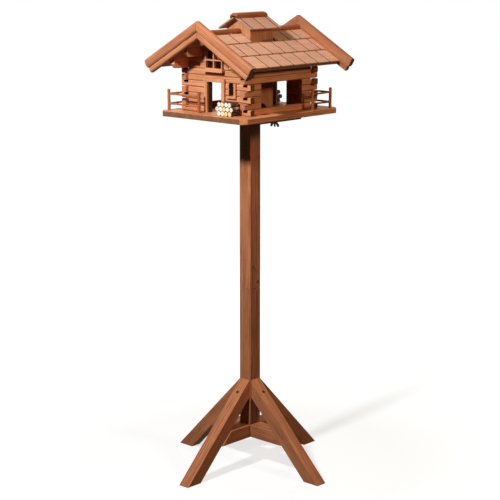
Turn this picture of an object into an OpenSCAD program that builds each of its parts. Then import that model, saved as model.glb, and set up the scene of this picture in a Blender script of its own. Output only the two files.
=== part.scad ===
// Log cabin bird feeder on a four-legged post stand.
// Origin: on the ground, in the middle of the stand.  +Z up, ridge along Y,
// front gable towards -Y.  The house repeats itself after half a turn about Z.

/* [Stand] */
// Width of the square post and of the cross beams
post_w = 45; // [36:1:60]
// Length of the whole post above the cross beams
post_len = 946; // [700:1:1300]
// Height of the lower end of the post splice above the cross beams
splice_up = 433; // [250:1:550]
// Length of the half-lap splice between the two post pieces
splice_len = 89; // [50:1:140]
// Height of the leg tops above the ground
leg_top = 279; // [250:1:340]
// Reach of each foot from the middle of the post
foot_reach = 296; // [260:1:360]
// Width of a leg
leg_w = 38; // [28:1:42]
// Thickness of a leg, square to its slope
leg_t = 40; // [28:1:44]
// Height of the cross beams above the ground
beam_up = 94; // [80:1:110]
// Height of a cross beam
beam_h = 40; // [30:1:48]

/* [Table] */
// Thickness of the board that joins the post to the house
mount_t = 22; // [15:1:30]
// Half width of that board, left to right
mount_x = 73; // [50:1:95]
// Half length of that board, front to back
mount_y = 150; // [80:1:165]
// Thickness of the base board
base_t = 16; // [10:1:25]
// Half width of the base board, left to right
base_x = 173; // [160:1:200]
// Half length of the base board, front to back
base_y = 214; // [200:1:240]
// Size of the cut corners of the base board
base_cut = 17; // [5:1:25]

/* [Log walls] */
// Outer face of the side walls from the middle
house_x = 128; // [118:1:140]
// Outer face of the front and back walls from the middle
house_y = 149; // [140:1:158]
// Thickness of a log
log_t = 17; // [12:1:20]
// Height of one course of logs
log_h = 18.2; // [16:0.1:20]
// How far the through logs run past the corners
log_past = 12; // [6:1:16]
// Radius of the rounded outer edges of a log
log_round = 4; // [1:0.5:5]
// Depth of the open notch in the top of a through log
notch_h = 8; // [4:0.5:10]

/* [Doors and windows] */
// Half width of the doorways
door_half = 28.5; // [20:0.5:32]
// Width of the upright door boards
door_board_w = 12.5; // [8:0.5:16]
// Thickness of the upright door boards
door_board_t = 6; // [3:0.5:8]
// Height of the board over a doorway
lintel_h = 11; // [8:0.5:16]
// Thickness of the board over a doorway
lintel_t = 7; // [4:0.5:9]
// Half width of the big openings in the side walls
side_half = 90; // [60:1:100]
// Near edge of the small window from the middle of the wall
small_x = 54; // [52:1:60]
// Width of the small window
small_w = 24; // [16:1:30]
// Width of the small window's side board
small_board_w = 8; // [4:0.5:10]
// Height of the small window's sill
small_sill_h = 7; // [4:0.5:9]
// Half width of the opening in a gable
gable_half = 31; // [22:1:38]
// Width of the frame and the bars of a gable window
bar_w = 4; // [2.5:0.5:6]
// Depth of a gable window frame
frame_t = 8.5; // [5:0.5:12]
// Depth of a gable window sill
sill_t = 14; // [10:0.5:18]
// Height of a gable window sill
sill_h = 7; // [4:0.5:9]

/* [Roof] */
// Pitch of the main roof
pitch = 29.5; // [26:0.5:33]
// Height of an eave purlin on its outer side
eave_purlin_h = 19.8; // [14:0.1:26]
// Width of the middle and ridge purlins
purlin_w = 17; // [10:1:20]
// Middle line of a middle purlin from the ridge
purlin_x = 64.5; // [60:0.5:72]
// Depth of the bevel under the head of a purlin
head_bevel = 13; // [4:1:15]
// Thickness of the roof boards
board_t = 12; // [8:0.5:15]
// Length of a roof board from the ridge line to the eave
slope_len = 182; // [172:1:200]
// Half length of the roof boards along the ridge
roof_y = 213.5; // [200:0.5:230]
// Thickness of a shingle course at its lower edge
butt_t = 4.5; // [3:0.5:7]
// Length of a shingle course that shows
course = 64.3; // [50:0.1:68]
// How far the lowest course runs past the roof boards
eave_past = 5; // [0:0.5:10]
// Distance between the saw cuts that part the shingles
kerf_pitch = 54.5; // [35:0.1:80]
// Width of a saw cut
kerf_w = 1.8; // [0.8:0.1:3]
// Width of an upper verge bar from its flat back to its rounded nose
verge_up_w = 17; // [12:0.5:24]
// Width of a lower verge bar from its flat back to its rounded nose
verge_low_w = 14; // [10:0.5:20]
// Width of the flat strip on its upper and lower sides
verge_flat = 4.5; // [2:0.5:8]
// Thickness of an upper verge bar
verge_up_t = 27.5; // [18:0.5:34]
// Thickness of a lower verge bar
verge_low_t = 17.5; // [13:0.5:24]
// How far the upper verge bars run past the eave
verge_past = 42.5; // [20:0.5:60]
// How much shorter the lower verge bars are
verge_step = 4; // [0:0.5:20]
// Half width of a ridge cap
cap_half = 13; // [10:0.5:20]
// Height of a ridge cap over the ridge of the roof boards
cap_h = 8.6; // [5:0.1:14]

/* [Feed silo and its roof] */
// Half width of the silo, left to right
silo_x = 47; // [40:1:52]
// Half length of the silo, front to back
silo_y = 50; // [40:1:60]
// Thickness of the silo panels
silo_t = 8; // [5:0.5:10]
// Radius of the feed arch in each side panel
arch_r = 27; // [15:1:32]
// How far the middle of the arch lies under the floor
arch_drop = 7; // [0:0.5:10]
// Radius of the rounded top edges of the ridge caps and of the silo ridge bar
ridge_r = 8; // [2:0.5:8]
// Pitch of the silo roof
lid_pitch = 29.5; // [20:0.5:33]
// Height of the silo roof over the main roof, ridge to ridge
lid_up = 55; // [48:0.5:75]
// Thickness of the silo roof boards
lid_t = 4.5; // [3:0.5:8]
// Half width of the silo roof
lid_x = 62.8; // [56:0.1:75]
// Half length of the silo roof
lid_y = 69; // [60:1:80]
// Half width of the silo ridge bar
lid_bar_half = 14; // [8:0.5:20]
// Height of the silo ridge bar over the boards' ridge
lid_bar_h = 8.2; // [5:0.1:14]
// How far the silo ridge bar runs past the boards at the front
lid_bar_front = 3; // [0:0.5:8]
// How far it stops short of their end at the back
lid_bar_back = 6; // [0:0.5:12]

/* [Railing and firewood] */
// Diameter of a railing post
rail_post_d = 9; // [6:0.5:12]
// Height of a railing post
rail_post_h = 62; // [45:1:80]
// Diameter of a rail
rail_d = 4.5; // [3:0.5:6]
// Height of the lower rail above the floor
rail_low = 19; // [12:1:24]
// Height of the upper rail above the floor
rail_high = 48; // [38:1:56]
// Railing corner post from the middle, left to right
rail_x = 166; // [150:1:166]
// Railing corner post from the middle, front to back
rail_y = 181; // [178:1:200]
// Railing post nearest the door, from the middle
rail_door_x = 40; // [36:1:60]
// Last railing post along the side, from the middle
rail_side_y = 98; // [60:1:120]
// Diameter of a firewood log
wood_d = 15.4; // [10:0.1:15.4]
// Length of a firewood log
wood_len = 35; // [20:1:40]
// Distance between firewood logs, middle to middle
wood_step = 15; // [9.6:0.1:15]
// Middle of the firewood pile from the middle of the wall
wood_x = 70; // [66:1:80]

/* [Hidden] */
// Gap left where a piece is let into another one
fit = 0.2;
// Longest reach used for cutting shapes
big = 1000;
// How far a cutting shape runs past what it cuts
over = 1;
// Steps in a rounded edge
round_steps = 4;
// Courses in the walls below the eave purlins, and in the height of the doorways
wall_rows = 7;
door_rows = 5;
// Rows where the small window and the gable window start and stop
small_rows = [3, 5];
gable_rows = [7, 10];
// Rows of logs up to the ridge
gable_top_row = 12;
// Row that each kind of purlin rests on
mid_purlin_row = 9;
ridge_purlin_row = 11;
// Highest share of a purlin's height that its bevel takes
bevel_share = 0.6;
// How far the heads of the purlins stop short of the ends of the roof boards
head_back = 6;
// Where the saw cuts of each course, and of the silo roof, are set off from the middle
kerf_shift = [1, 28, 4];
lid_kerf_shift = -2;
// Thickness left under the saw cuts, and of a course at its upper end
kerf_floor = 0.6;
course_thin = 1;
// Steps in the round nose of a verge bar
nose_steps = 12;
// Rows of the firewood pile
wood_rows = [4, 5, 4];

post_half = post_w / 2;
post_z = beam_up + beam_h;
splice_z = post_z + splice_up;
mount_z = post_z + post_len;
base_z = mount_z + mount_t;
floor_z = base_z + base_t;
wall_in_x = house_x - log_t;
wall_in_y = house_y - log_t;
wall_z = floor_z + wall_rows * log_h;
door_z = floor_z + door_rows * log_h;
roof_z = wall_z + eave_purlin_h + house_x * tan(pitch);
head_y = roof_y - head_back;
leg_slope = atan2(leg_top, foot_reach - post_half);
foot_len = leg_t / sin(leg_slope);
leg_low = leg_top - leg_t / cos(leg_slope);
lid_z = roof_z + lid_up;

// ---- helpers ----

// Height of the underside of the roof boards at a distance from the ridge
function roof_under(x) = roof_z - x * tan(pitch);

// Height of the bottom of a course of logs
function row_z(k) = floor_z + k * log_h;

// Points of an arc, in steps
function arc(x, y, r, a0, a1, n = round_steps) =
    [for (i = [0 : n]) [x + r * cos(a0 + (a1 - a0) * i / n), y + r * sin(a0 + (a1 - a0) * i / n)]];

// A rectangle from corner to corner with four rounded corners: low left, low right, top right, top left
function rounded_box(x0, y0, x1, y1, r) = concat(
    arc(x0 + r[0], y0 + r[0], r[0], 180, 270), arc(x1 - r[1], y0 + r[1], r[1], 270, 360),
    arc(x1 - r[2], y1 - r[2], r[2], 0, 90), arc(x0 + r[3], y1 - r[3], r[3], 90, 180));

// A (y, z) outline drawn out along X
module along_x(x0, x1) {
    translate([x0, 0, 0]) rotate([90, 0, 90]) linear_extrude(x1 - x0) children();
}

// An (x, z) outline drawn out along Y
module along_y(y0, y1) {
    translate([0, y1, 0]) rotate([90, 0, 0]) linear_extrude(y1 - y0) children();
}

// A box from its lowest corner to its highest corner
module block(lo, hi) {
    translate(lo) cube(hi - lo);
}

// The same piece again after half a turn
module both_ends() {
    children();
    rotate([0, 0, 180]) children();
}

// The same piece mirrored front to back
module front_and_back() {
    children();
    mirror([0, 1, 0]) children();
}

// The frame of the right-hand slope: X down the slope, Z square to it
module on_slope(z = roof_z, a = pitch) {
    translate([0, 0, z]) rotate([0, a, 0]) children();
}

// ---- stand ----

module leg(turn) {
    color("peru") rotate([0, 0, turn]) along_y(-leg_w / 2, leg_w / 2)
        polygon([[post_half, leg_top], [post_half, leg_low],
                 [foot_reach - foot_len, 0], [foot_reach, 0]]);
}

module leg_front() { leg(-90); }
module leg_right() { leg(0); }
module leg_back() { leg(90); }
module leg_left() { leg(180); }

// Reach of a cross beam to the inner face of a leg
function beam_reach(z) = post_half + (leg_low - z) / tan(leg_slope);

module cross_beam() {
    top = beam_up + beam_h;
    color("sienna") along_y(-post_half, post_half)
        polygon([[-beam_reach(beam_up), beam_up], [beam_reach(beam_up), beam_up],
                 [beam_reach(top), top], [-beam_reach(top), top]]);
}

module cross_beam_upper() {
    lap = post_half + fit;
    color("sienna") difference() {
        cross_beam();
        block([-lap, -big, 0], [lap, big, beam_up + beam_h / 2]);
    }
}

module cross_beam_lower() {
    lap = post_half + fit;
    color("sienna") difference() {
        rotate([0, 0, 90]) cross_beam();
        block([-big, -lap, beam_up + beam_h / 2], [big, lap, big]);
    }
}

module lower_post() {
    color("peru") {
        block([-post_half, -post_half, post_z], [0, post_half, splice_z + splice_len]);
        block([-post_half, -post_half, post_z], [post_half, post_half, splice_z]);
    }
}

module upper_post() {
    color("peru") {
        block([0, -post_half, splice_z], [post_half, post_half, mount_z]);
        block([-post_half, -post_half, splice_z + splice_len], [post_half, post_half, mount_z]);
    }
}

// ---- table ----

module mounting_board() {
    color("saddlebrown") block([-mount_x, -mount_y, mount_z], [mount_x, mount_y, base_z]);
}

module base_board() {
    c = base_cut;
    color("peru") translate([0, 0, base_z]) linear_extrude(base_t)
        polygon([[-base_x + c, -base_y], [base_x - c, -base_y], [base_x, -base_y + c],
                 [base_x, base_y - c], [base_x - c, base_y], [-base_x + c, base_y],
                 [-base_x, base_y - c], [-base_x, -base_y + c]]);
}

// ---- log walls ----

// Cross section of a log in a wall whose outer face is at out
module log_section(out, k) {
    r = log_round;
    s = log_round / 3;
    polygon(rounded_box(out - log_t, row_z(k), out, row_z(k + 1), [s, r, r, s]));
}

// One log of the front wall, before its doors and windows are cut
module front_log(k) {
    through = k < wall_rows && k % 2 == 0;
    reach = through ? house_x + log_past : wall_in_x;
    difference() {
        rotate([0, 0, -90]) along_y(-reach, reach) log_section(house_y, k);
        if (through)
            for (side = [-1, 1])
                block([min(side * wall_in_x, side * house_x), -big, row_z(k + 1) - notch_h],
                      [max(side * wall_in_x, side * house_x), big, row_z(k + 1) + over]);
    }
}

// What is cut out of the front wall
module front_openings() {
    block([-door_half, -big, floor_z - over], [door_half, big, door_z]);
    block([small_x, -big, row_z(small_rows[0])], [small_x + small_w, big, row_z(small_rows[1])]);
    block([-gable_half, -big, row_z(gable_rows[0])], [gable_half, big, row_z(gable_rows[1])]);
}

// The space over the wall that the roof boards and purlins take
module roof_space() {
    for (side = [0, 1])
        mirror([side, 0, 0]) on_slope() block([-big, -big, 0], [big, big, big]);
    for (x = [-purlin_x, purlin_x])
        block([x - purlin_w / 2, -big, row_z(mid_purlin_row)], [x + purlin_w / 2, big, big + roof_z]);
    block([-purlin_w / 2, -big, row_z(ridge_purlin_row)], [purlin_w / 2, big, roof_z]);
}

module front_wall_logs(parity) {
    color(parity == 0 ? "peru" : "sandybrown") difference() {
        for (k = [parity : 2 : gable_top_row]) front_log(k);
        front_openings();
        roof_space();
    }
}

module front_wall_through_logs() { front_wall_logs(0); }
module front_wall_fitted_logs() { front_wall_logs(1); }
module back_wall_through_logs() { rotate([0, 0, 180]) front_wall_logs(0); }
module back_wall_fitted_logs() { rotate([0, 0, 180]) front_wall_logs(1); }

module right_wall_logs(parity) {
    color(parity == 1 ? "peru" : "sandybrown") difference() {
        for (k = [parity : 2 : wall_rows - 1]) {
            reach = k % 2 == 1 ? house_y + log_past : wall_in_y;
            along_y(-reach, reach) log_section(house_x, k);
        }
        block([0, -side_half, row_z(1)], [big, side_half, row_z(door_rows)]);
    }
}

module right_wall_through_logs() { right_wall_logs(1); }
module right_wall_fitted_logs() { right_wall_logs(0); }
module left_wall_through_logs() { rotate([0, 0, 180]) right_wall_logs(1); }
module left_wall_fitted_logs() { rotate([0, 0, 180]) right_wall_logs(0); }

// ---- doors and windows ----

module front_door_frame() {
    outer = door_half + door_board_w;
    color("chocolate") {
        for (side = [0, 1])
            mirror([side, 0, 0])
                block([door_half, -house_y - door_board_t, floor_z], [outer, -house_y, door_z]);
        block([-outer - over, -house_y - lintel_t, door_z], [outer + over, -house_y, door_z + lintel_h]);
    }
}

module back_door_frame() { rotate([0, 0, 180]) front_door_frame(); }

module front_small_window() {
    x1 = small_x + small_w;
    z0 = row_z(small_rows[0]);
    color("chocolate") {
        block([x1, -house_y - door_board_t, z0], [x1 + small_board_w, -house_y, row_z(small_rows[1])]);
        block([small_x - bar_w, -house_y - lintel_t, z0 - small_sill_h],
              [x1 + small_board_w, -house_y, z0]);
    }
}

module back_small_window() { rotate([0, 0, 180]) front_small_window(); }

module front_gable_window() {
    outer = gable_half + bar_w;
    z0 = row_z(gable_rows[0]);
    z1 = row_z(gable_rows[1]);
    mid = (z0 + z1) / 2;
    color("chocolate") {
        along_y(-house_y - frame_t, -house_y) difference() {
            translate([-outer, z0]) square([2 * outer, z1 + bar_w - z0]);
            for (side = [-1, 1], low = [z0 + bar_w, mid + bar_w / 2])
                translate([side * (gable_half + bar_w / 2) / 2 - (gable_half - bar_w / 2) / 2, low])
                    square([gable_half - bar_w / 2, low > mid ? z1 - low : mid - bar_w / 2 - low]);
        }
        block([-outer - bar_w, -house_y - sill_t, z0 - sill_h], [outer + bar_w, -house_y, z0]);
    }
}

module back_gable_window() { rotate([0, 0, 180]) front_gable_window(); }

// ---- roof ----

// A purlin from x0 to x1 on a course of logs, with its bevelled heads
module purlin(x0, x1, z0, y0, y1) {
    bevel = min(head_bevel, bevel_share * (roof_under(min(abs(x0), abs(x1))) - z0));
    difference() {
        block([x0, y0, z0], [x1, y1, roof_z]);
        for (side = [0, 1])
            mirror([side, 0, 0]) on_slope() block([-big, -big, 0], [big, big, big]);
        for (end = [0, 1])
            mirror([0, end, 0]) along_x(-big, big)
                polygon([[head_y + over, z0 - over], [head_y + over, z0 + bevel + over],
                         [head_y - bevel - over, z0 - over]]);
    }
}

module purlins() {
    half = purlin_w / 2;
    color("sienna") {
        front_and_back()
            purlin(-half, half, row_z(ridge_purlin_row), silo_y + fit, head_y);
        for (side = [0, 1])
            mirror([side, 0, 0]) {
                purlin(purlin_x - half, purlin_x + half, row_z(mid_purlin_row), -head_y, head_y);
                purlin(wall_in_x, house_x, wall_z, -head_y, head_y);
            }
    }
}

// The hole in the roof for the silo
module silo_hole() {
    block([-silo_x - fit, -silo_y - fit, 0], [silo_x + fit, silo_y + fit, 2 * roof_z]);
}

module roof_board_right() {
    color("peru") difference() {
        on_slope() block([-slope_len, -roof_y, 0], [slope_len, roof_y, board_t]);
        block([-big, -big, 0], [0, big, 2 * roof_z]);
        silo_hole();
    }
}

module roof_board_left() { mirror([1, 0, 0]) roof_board_right(); }

// One course of shingles: a tapered board with saw cuts
module shingle_course(i) {
    low = slope_len + eave_past - (2 - i) * course;
    cuts = ceil(roof_y / kerf_pitch);
    on_slope() difference() {
        along_y(-roof_y, roof_y)
            polygon([[low - course, board_t], [low, board_t], [low, board_t + butt_t],
                     [low - course, board_t + course_thin]]);
        for (j = [-cuts : cuts])
            if (abs(kerf_shift[i] + j * kerf_pitch) < roof_y - 3 * kerf_w)
                translate([low, kerf_shift[i] + j * kerf_pitch, board_t + kerf_floor])
                    block([-course - over, -kerf_w / 2, 0], [over, kerf_w / 2, big]);
    }
}

module shingles_top() {
    color("burlywood") difference() {
        for (side = [0, 1])
            mirror([side, 0, 0]) difference() {
                shingle_course(0);
                block([-big, -big, 0], [cap_half + fit, big, 2 * roof_z]);
            }
        block([-big, -silo_y - fit, 0], [big, silo_y + fit, 2 * roof_z]);
    }
}

module shingles_middle() {
    color("burlywood") difference() {
        for (side = [0, 1]) mirror([side, 0, 0]) shingle_course(1);
        silo_hole();
    }
}

module shingles_eave() {
    color("burlywood") for (side = [0, 1]) mirror([side, 0, 0]) shingle_course(2);
}

// A half-round verge bar on the right-hand slope, at both gables
module verge_bar(n0, n1, w, length) {
    y = roof_y + verge_flat;
    half = (n1 - n0) / 2;
    nose = [for (i = [0 : nose_steps])
        let (a = 180 * i / nose_steps)
        [-y - (w - verge_flat) * sin(a), n0 + half - half * cos(a)]];
    color("sandybrown") front_and_back() difference() {
        on_slope() along_x(-length, length)
            polygon(concat([[-roof_y, n0]], nose, [[-roof_y, n1]]));
        block([-big, -big, 0], [0, big, 2 * roof_z]);
    }
}

module verge_upper_right() {
    verge_bar(verge_low_t, verge_low_t + verge_up_t, verge_up_w, slope_len + verge_past);
}

module verge_lower_right() {
    verge_bar(0, verge_low_t, verge_low_w, slope_len + verge_past - verge_step);
}

module verge_upper_left() { mirror([1, 0, 0]) verge_upper_right(); }
module verge_lower_left() { mirror([1, 0, 0]) verge_lower_right(); }

// Outline of a bar that sits astride a ridge: its half width, height, and the pitch and top of the boards
module ridge_outline(half, height, slope, ridge) {
    r = ridge_r;
    top = ridge + height;
    polygon(concat(arc(half - r, top - r, r, 0, 90), arc(-half + r, top - r, r, 90, 180),
                   [[-half, ridge - half * tan(slope)], [0, ridge], [half, ridge - half * tan(slope)]]));
}

module ridge_caps() {
    color("sienna") front_and_back() along_y(silo_y + fit, roof_y)
        ridge_outline(cap_half, cap_h, pitch, roof_z + board_t / cos(pitch));
}

// ---- feed silo ----

// The space above the underside of the silo roof
module lid_space() {
    for (side = [0, 1])
        mirror([side, 0, 0]) on_slope(lid_z, lid_pitch) block([-big, -big, 0], [big, big, big]);
}

module silo_end_panels() {
    color("peru") difference() {
        front_and_back() block([-silo_x, silo_y - silo_t, floor_z], [silo_x, silo_y, lid_z]);
        lid_space();
    }
}

module silo_side_panels() {
    inner = silo_y - silo_t;
    color("sandybrown") difference() {
        for (side = [0, 1])
            mirror([side, 0, 0]) block([silo_x - silo_t, -inner, floor_z], [silo_x, inner, lid_z]);
        lid_space();
        translate([0, 0, floor_z - arch_drop]) rotate([0, 90, 0])
            cylinder(r = arch_r, h = big, center = true, $fn = 96);
    }
}

module silo_roof_right() {
    length = lid_x / cos(lid_pitch);
    color("burlywood") difference() {
        on_slope(lid_z, lid_pitch) difference() {
            block([-length, -lid_y, 0], [length, lid_y, lid_t]);
            for (j = [-1 : 1])
                translate([0, lid_kerf_shift + j * kerf_pitch, 0])
                    block([-big, -kerf_w / 2, lid_t / 2], [big, kerf_w / 2, big]);
        }
        block([-big, -big, 0], [0, big, 2 * roof_z]);
    }
}

module silo_roof_left() { mirror([1, 0, 0]) silo_roof_right(); }

module silo_ridge_bar() {
    ridge = lid_z + lid_t / cos(lid_pitch);
    top = ridge + lid_bar_h;
    color("sienna") difference() {
        along_y(-lid_y - lid_bar_front, lid_y - lid_bar_back)
            ridge_outline(lid_bar_half, lid_bar_h, lid_pitch, ridge);
        for (end = [[lid_y - lid_bar_back, 0], [lid_y + lid_bar_front, 1]])
            mirror([0, end[1], 0]) along_x(-big, big)
                polygon([[end[0] + over, top - ridge_r - over], [end[0] + over, top + over],
                         [end[0] - ridge_r - over, top + over]]);
    }
}

// ---- railing and firewood ----

module rail_post(x, y) {
    r = rail_post_d / 2;
    translate([x, y, floor_z]) cylinder(r = r, h = rail_post_h - r, $fn = 32);
    translate([x, y, floor_z + rail_post_h - r]) sphere(r = r, $fn = 32);
}

module railing_front_and_back() {
    color("chocolate") both_ends() {
        rail_post(-rail_x, -rail_y);
        rail_post(-rail_door_x, -rail_y);
        for (h = [rail_low, rail_high])
            translate([-rail_x, -rail_y, floor_z + h]) rotate([0, 90, 0])
                cylinder(d = rail_d, h = rail_x - rail_door_x, $fn = 24);
    }
}

module railing_sides() {
    start = rail_post_d / 2 + fit;
    color("chocolate") both_ends() {
        rail_post(-rail_x, -rail_side_y);
        for (h = [rail_low, rail_high])
            translate([-rail_x, -rail_y + start, floor_z + h]) rotate([-90, 0, 0])
                cylinder(d = rail_d, h = rail_y - rail_side_y - start, $fn = 24);
    }
}

module firewood_front() {
    rise = wood_step * sin(60);
    color("wheat") for (row = [0 : len(wood_rows) - 1], i = [0 : wood_rows[row] - 1])
        translate([wood_x + (i - (wood_rows[row] - 1) / 2) * wood_step,
                   -house_y - door_board_t - fit, floor_z + wood_d / 2 + row * rise])
            rotate([90, 0, 0]) cylinder(d = wood_d, h = wood_len, $fn = 24);
}

module firewood_back() { rotate([0, 0, 180]) firewood_front(); }

leg_front();
leg_right();
leg_back();
leg_left();
cross_beam_upper();
cross_beam_lower();
lower_post();
upper_post();
mounting_board();
base_board();
front_wall_through_logs();
front_wall_fitted_logs();
back_wall_through_logs();
back_wall_fitted_logs();
right_wall_through_logs();
right_wall_fitted_logs();
left_wall_through_logs();
left_wall_fitted_logs();
front_door_frame();
back_door_frame();
front_small_window();
back_small_window();
front_gable_window();
back_gable_window();
purlins();
roof_board_right();
roof_board_left();
shingles_top();
shingles_middle();
shingles_eave();
verge_upper_right();
verge_upper_left();
verge_lower_right();
verge_lower_left();
ridge_caps();
silo_end_panels();
silo_side_panels();
silo_roof_right();
silo_roof_left();
silo_ridge_bar();
railing_front_and_back();
railing_sides();
firewood_front();
firewood_back();
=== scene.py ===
# %% [markdown]
# # A log cabin bird feeder on its post
# The real thing is a small log house screwed to a wooden post with four sloping legs.
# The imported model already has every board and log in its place, in metres, so this lesson
# dresses it: it gives each piece its wood, and grows the shingles, the railing sticks, the
# firewood and the screws from node trees.

# %% Load the frame
import math

import bmesh
import bpy
from mathutils import Matrix, Vector


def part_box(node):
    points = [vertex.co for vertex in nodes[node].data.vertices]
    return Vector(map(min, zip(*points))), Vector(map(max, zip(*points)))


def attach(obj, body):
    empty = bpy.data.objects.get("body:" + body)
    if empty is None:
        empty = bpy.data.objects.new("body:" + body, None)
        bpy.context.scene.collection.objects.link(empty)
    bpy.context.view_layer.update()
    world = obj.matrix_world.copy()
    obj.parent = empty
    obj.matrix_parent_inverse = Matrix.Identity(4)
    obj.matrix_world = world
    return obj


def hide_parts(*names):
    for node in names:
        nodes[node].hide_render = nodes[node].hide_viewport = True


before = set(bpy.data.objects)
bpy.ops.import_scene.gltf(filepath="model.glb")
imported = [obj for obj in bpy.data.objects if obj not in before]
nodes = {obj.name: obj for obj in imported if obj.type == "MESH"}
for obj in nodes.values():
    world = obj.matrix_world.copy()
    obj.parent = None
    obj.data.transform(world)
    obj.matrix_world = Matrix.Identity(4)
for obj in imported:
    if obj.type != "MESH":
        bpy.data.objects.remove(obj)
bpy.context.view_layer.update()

mm = 0.001
print("nodes in the frame:", len(nodes))

# %% [markdown]
# ## Where things are
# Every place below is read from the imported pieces, so the new pieces follow the model if
# its sizes are changed. Only small sizes, such as a screw's, are typed in. A sloping board
# gives its slope through its corners: the lowest one, and the two at the ridge.

# %% Measure the frame
def slope_of(node):
    """Pitch, underside at the ridge, thickness and length of a sloping board on the right."""
    corners = [v.co for v in nodes[node].data.vertices]
    eave = min(corners, key=lambda c: c.z)
    at_ridge = [c.z for c in corners if c.x < 1 * mm]
    ridge = min(at_ridge)
    pitch = math.atan2(ridge - eave.z, eave.x)
    return pitch, ridge, (max(at_ridge) - ridge) * math.cos(pitch), eave.x / math.cos(pitch)


LOGS_BELOW_PURLINS = 7
MOUNT_THICKNESS = 16 * mm

base_low, base_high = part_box("base_board")
floor_z = base_high.z
board_z = base_low.z - MOUNT_THICKNESS
log_height = (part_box("purlins")[0].z - floor_z) / LOGS_BELOW_PURLINS
silo_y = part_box("silo_end_panels")[1].y
pitch, roof_z, board, _ = slope_of("roof_board_right")
lid_pitch, lid_z, lid_board, lid_slope = slope_of("silo_roof_right")
half_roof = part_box("roof_board_right")[1].y
half_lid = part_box("silo_roof_right")[1].y
post_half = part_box("lower_post")[1].x
leg_top, leg_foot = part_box("leg_right")[1].z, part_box("leg_right")[1].x
leg_slope = math.atan2(leg_top, leg_foot - post_half)
print("pitch", round(math.degrees(pitch), 1), "ridge", round(roof_z, 4),
      "log", round(log_height, 4))

# %% [markdown]
# ## Building node trees in a script
# A node tree is a list of nodes and the links between them. These helpers add one node at a
# time: an input takes either a plain value or another node's output, which makes a link.
# A list of outputs makes several links to one input, as Join Geometry needs.

# %% Add a node
FLOAT, VECTOR, COLOR = "NodeSocketFloat", "NodeSocketVector", "NodeSocketColor"
GEOMETRY, MATERIAL = "NodeSocketGeometry", "NodeSocketMaterial"


def fill(tree, node, inputs):
    """Fills a node's inputs, by name or by number, with values or with links."""
    for key, value in inputs.items():
        for one in value if isinstance(value, list) else [value]:
            if isinstance(one, bpy.types.NodeSocket):
                tree.links.new(one, node.inputs[key])
            else:
                node.inputs[key].default_value = one


def add(tree, kind, inputs=None, **settings):
    """Adds a node, and fills its inputs."""
    made = tree.nodes.new(kind)
    for key, value in settings.items():
        setattr(made, key, value)
    fill(tree, made, inputs or {})
    return made


def out(tree, kind, inputs=None, **settings):
    """Adds a node, and hands back its first output."""
    return add(tree, kind, inputs, **settings).outputs[0]


def new_tree(name, kind, inputs, outputs):
    """An empty tree with named inputs and outputs."""
    tree = bpy.data.node_groups.new(name, kind)
    for label, socket_type, default in inputs:
        socket = tree.interface.new_socket(label, in_out="INPUT", socket_type=socket_type)
        if default is not None:
            socket.default_value = default
    for label, socket_type in outputs:
        tree.interface.new_socket(label, in_out="OUTPUT", socket_type=socket_type)
    start = tree.nodes.new("NodeGroupInput")
    return tree, start.outputs, tree.nodes.new("NodeGroupOutput")


def new_material(name):
    """A new material, its node tree, and its shader."""
    material = bpy.data.materials.new(name)
    material.use_nodes = True
    return material, material.node_tree, material.node_tree.nodes["Principled BSDF"]


print("a tree can now be built with add, out and fill")

# %% [markdown]
# ## Arithmetic with nodes
# Most of a tree is arithmetic. A short name for each step keeps the long sums readable.

# %% Reckon with nodes
def calc(tree, operation, *values):
    """One step of arithmetic on numbers."""
    return out(tree, "ShaderNodeMath", dict(enumerate(values)), operation=operation)


def plus(tree, a, b):
    """The sum of two numbers."""
    return calc(tree, "ADD", a, b)


def minus(tree, a, b):
    """The difference of two numbers."""
    return calc(tree, "SUBTRACT", a, b)


def times(tree, a, b):
    """The product of two numbers."""
    return calc(tree, "MULTIPLY", a, b)


def times_plus(tree, a, b, c):
    """The product of two numbers, and a third one added."""
    return calc(tree, "MULTIPLY_ADD", a, b, c)


def remap(tree, value, low, high, to_low, to_high):
    """Maps a range of values to another one, and stops at its ends."""
    return out(tree, "ShaderNodeMapRange", {0: value, 1: low, 2: high, 3: to_low, 4: to_high})


print("sums are ready")

# %% [markdown]
# ## Vectors and noise
# Places and directions are vectors, three numbers each. Noise takes a place and gives a
# value that changes smoothly from one place to the next, which is what wood, bark and rust
# need: nothing repeats, and a stretched place gives a stretched pattern.

# %% Reckon with vectors
def calc3(tree, operation, *values):
    """One step of arithmetic on vectors."""
    return out(tree, "ShaderNodeVectorMath", dict(enumerate(values)), operation=operation)


def scaled(tree, vector, size):
    """A vector or a colour times a number."""
    return out(tree, "ShaderNodeVectorMath", {0: vector, "Scale": size}, operation="SCALE")


def xyz(tree, x, y, z):
    """A vector from three numbers."""
    return out(tree, "ShaderNodeCombineXYZ", {0: x, 1: y, 2: z})


def split(tree, vector):
    """The three numbers of a vector."""
    return add(tree, "ShaderNodeSeparateXYZ", {0: vector}).outputs


def noise(tree, where, scale=1, detail=2, roughness=0.5):
    """Smooth noise, as a number and as a colour."""
    return add(tree, "ShaderNodeTexNoise", {"Vector": where, "Scale": scale, "Detail": detail,
                                            "Roughness": roughness}).outputs


print("vectors and noise are ready")

# %% [markdown]
# ## Colours
# Paint charts give a colour as three numbers from 0 to 255. The renderer works with light,
# where twice the number is twice the light, so each number is made linear first.

# %% Mix colours
def shade(red, green, blue):
    """A colour as a paint chart gives it, made linear for the renderer."""
    def one(value):
        value /= 255
        return value / 12.92 if value <= 0.04045 else ((value + 0.055) / 1.055) ** 2.4
    return (one(red), one(green), one(blue), 1)


def blend_colour(tree, how_much, a, b):
    """Mixes two colours."""
    return add(tree, "ShaderNodeMix", {0: how_much, 6: a, 7: b}, data_type="RGBA").outputs[2]


print("a middle grey gives", round(shade(128, 128, 128)[0], 3), "of the light")

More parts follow.
